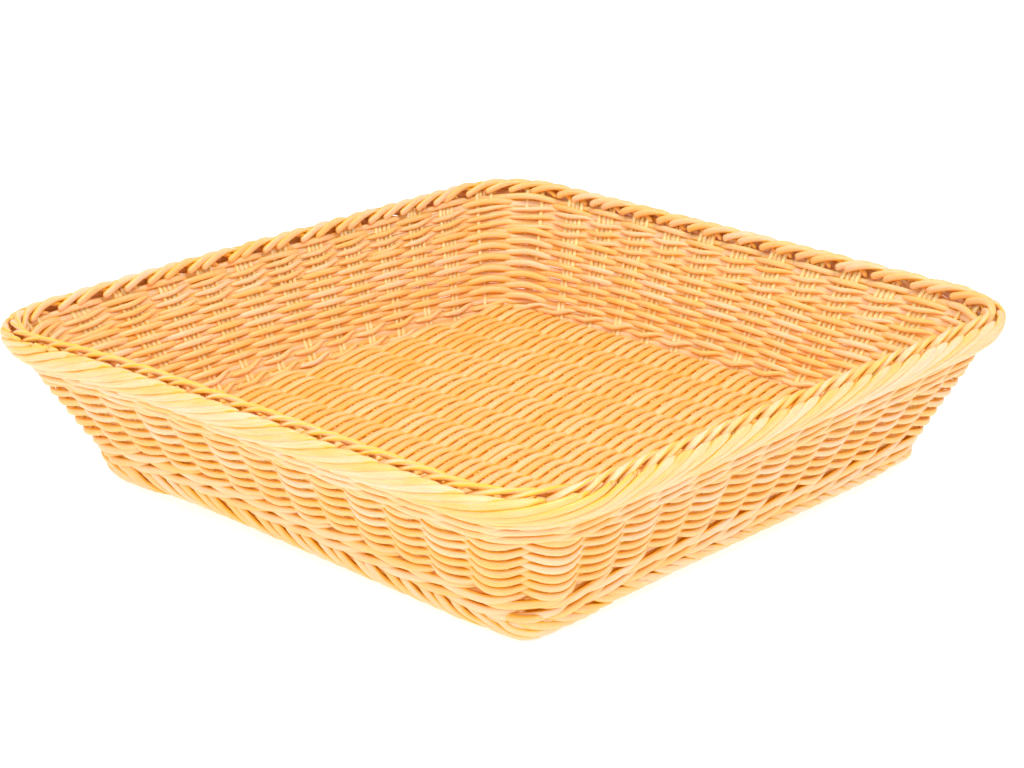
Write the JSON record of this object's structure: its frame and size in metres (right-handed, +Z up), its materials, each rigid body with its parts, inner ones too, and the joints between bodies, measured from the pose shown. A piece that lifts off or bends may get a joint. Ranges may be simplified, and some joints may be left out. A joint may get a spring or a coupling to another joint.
{
  "type": "woven basket",
  "caption": "Rectangular open basket plaited from plastic strands, with flared woven sides, a woven bottom, a wrapped rim and a plaited foot.",
  "frame": {"origin": "on the ground, under the middle of the basket", "axes": "+Z up, the two longer sides run along Y and the two shorter sides along X"},
  "size_m": [0.4082, 0.4332, 0.098],
  "materials": {
    "outer_strands": "satin straw-coloured plastic strand with fine lengthwise streaks",
    "stake_strands": "satin honey-coloured plastic strand",
    "bottom_strands": "satin honey-coloured plastic strand"
  },
  "bodies": {
    "root": {"foot_border": "outer_strands", "lower_wale_a": "outer_strands", "lower_wale_b": "outer_strands", "rim_border": "outer_strands", "rim_inner_cord": "outer_strands", "side_row_1": "outer_strands", "side_row_10": "outer_strands", "side_row_11": "outer_strands", "side_row_2": "outer_strands", "side_row_3": "outer_strands", "side_row_4": "outer_strands", "side_row_5": "outer_strands", "side_row_6": "outer_strands", "side_row_7": "outer_strands", "side_row_8": "outer_strands", "side_row_9": "outer_strands", "stakes_back": "stake_strands", "stakes_corner_back_left": "stake_strands", "stakes_corner_back_right": "stake_strands", "stakes_corner_front_left": "stake_strands", "stakes_corner_front_right": "stake_strands", "stakes_front": "stake_strands", "stakes_left": "stake_strands", "stakes_right": "stake_strands", "top_row_1": "outer_strands", "top_row_2": "outer_strands", "upper_wale_a": "outer_strands", "upper_wale_b": "outer_strands", "woven_bottom": "bottom_strands"}
  },
  "joints": []
}
